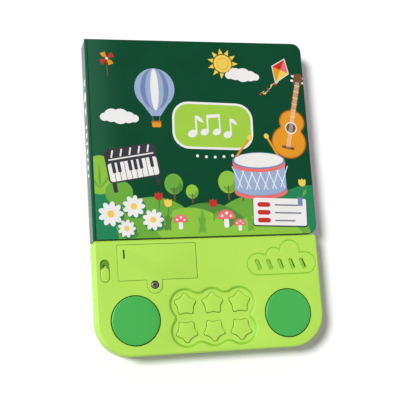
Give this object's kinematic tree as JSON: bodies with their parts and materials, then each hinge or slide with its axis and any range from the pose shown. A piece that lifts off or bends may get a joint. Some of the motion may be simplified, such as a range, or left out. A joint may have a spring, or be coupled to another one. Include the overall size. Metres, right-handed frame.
{
  "type": "sound book",
  "caption": "Board book with a hinged printed cover joined to a lime plastic sound unit that carries star keys, round push buttons, a slide switch, a grille and a battery door.",
  "frame": {"origin": "centre of the bounding box in X and Y, on the flat back face in Z", "axes": "+Y runs from the sound unit to the top edge of the book, +Z out of the front cover, +X to the reader's right"},
  "size_m": [0.2, 0.2758, 0.024],
  "materials": {
    "printed_board": "dark green printed board under a clear glossy film",
    "page_board": "white board leaves",
    "lime_plastic": "light yellow-green moulded plastic, fine satin",
    "green_plastic": "mid green moulded plastic, satin gloss",
    "silicone": "soft white silicone",
    "board_laminate": "green lacquered laminate",
    "black_resin": "black moulded resin",
    "cell": "dark sleeve over a metal can",
    "plated_steel": "nickel-plated thin steel",
    "magnet": "dull grey magnet",
    "cone_paper": "black pressed paper",
    "red_wire": "red insulated wire",
    "black_wire": "black insulated wire",
    "screw_steel": "darkened steel"
  },
  "bodies": {
    "body": {"spine": "printed_board", "back_cover": "printed_board", "page_block": "page_board", "front_shell": "lime_plastic", "rear_shell": "lime_plastic", "battery_door": "lime_plastic", "key_dome_1": "silicone", "key_dome_2": "silicone", "key_dome_3": "silicone", "key_dome_4": "silicone", "key_dome_5": "silicone", "key_dome_6": "silicone", "button_dome_left": "silicone", "button_dome_right": "silicone", "circuit_board": "board_laminate", "chip_cover": "black_resin", "slide_switch": "black_resin", "battery_1": "cell", "battery_2": "cell", "contact_plate_1": "plated_steel", "contact_plate_2": "plated_steel", "battery_spring_1": "plated_steel", "battery_spring_2": "plated_steel", "speaker_basket": "plated_steel", "speaker_magnet": "magnet", "speaker_cone": "cone_paper", "speaker_wire_red": "red_wire", "battery_wire_red": "red_wire", "speaker_wire_black": "black_wire", "battery_wire_black": "black_wire", "battery_door_screw": "screw_steel", "housing_screw_1": "screw_steel", "housing_screw_2": "screw_steel", "housing_screw_3": "screw_steel", "housing_screw_4": "screw_steel", "housing_screw_5": "screw_steel", "housing_screw_6": "screw_steel", "board_screw_1": "screw_steel", "board_screw_2": "screw_steel", "board_screw_3": "screw_steel", "board_screw_4": "screw_steel"},
    "cover": {"front_cover": "printed_board"},
    "star_1": {"star_key_1": "lime_plastic"},
    "star_2": {"star_key_2": "lime_plastic"},
    "star_3": {"star_key_3": "lime_plastic"},
    "star_4": {"star_key_4": "lime_plastic"},
    "star_5": {"star_key_5": "lime_plastic"},
    "star_6": {"star_key_6": "lime_plastic"},
    "button_left": {"round_button_left": "green_plastic"},
    "button_right": {"round_button_right": "green_plastic"},
    "knob": {"switch_knob": "lime_plastic"}
  },
  "joints": [
    {"name": "cover_hinge", "type": "hinge", "parent": "body", "child": "cover", "pos_m": [-0.1, 0.04905, 0.02185], "axis": [0, -1, 0], "range_deg": [0, 180]},
    {"name": "star_key_1_press", "type": "slide", "parent": "body", "child": "star_1", "axis": [0, 0, -1], "range_m": [0, 0.0012], "stiffness_N_per_m": 300, "springref_m": -0.001, "deforming": ["key_dome_1"]},
    {"name": "star_key_2_press", "type": "slide", "parent": "body", "child": "star_2", "axis": [0, 0, -1], "range_m": [0, 0.0012], "stiffness_N_per_m": 300, "springref_m": -0.001, "deforming": ["key_dome_2"]},
    {"name": "star_key_3_press", "type": "slide", "parent": "body", "child": "star_3", "axis": [0, 0, -1], "range_m": [0, 0.0012], "stiffness_N_per_m": 300, "springref_m": -0.001, "deforming": ["key_dome_3"]},
    {"name": "star_key_4_press", "type": "slide", "parent": "body", "child": "star_4", "axis": [0, 0, -1], "range_m": [0, 0.0012], "stiffness_N_per_m": 300, "springref_m": -0.001, "deforming": ["key_dome_4"]},
    {"name": "star_key_5_press", "type": "slide", "parent": "body", "child": "star_5", "axis": [0, 0, -1], "range_m": [0, 0.0012], "stiffness_N_per_m": 300, "springref_m": -0.001, "deforming": ["key_dome_5"]},
    {"name": "star_key_6_press", "type": "slide", "parent": "body", "child": "star_6", "axis": [0, 0, -1], "range_m": [0, 0.0012], "stiffness_N_per_m": 300, "springref_m": -0.001, "deforming": ["key_dome_6"]},
    {"name": "round_button_left_press", "type": "slide", "parent": "body", "child": "button_left", "axis": [0, 0, -1], "range_m": [0, 0.0018], "stiffness_N_per_m": 400, "springref_m": -0.001, "deforming": ["button_dome_left"]},
    {"name": "round_button_right_press", "type": "slide", "parent": "body", "child": "button_right", "axis": [0, 0, -1], "range_m": [0, 0.0018], "stiffness_N_per_m": 400, "springref_m": -0.001, "deforming": ["button_dome_right"]},
    {"name": "switch_slide", "type": "slide", "parent": "body", "child": "knob", "axis": [0, 1, 0], "range_m": [0, 0.0064]}
  ]
}
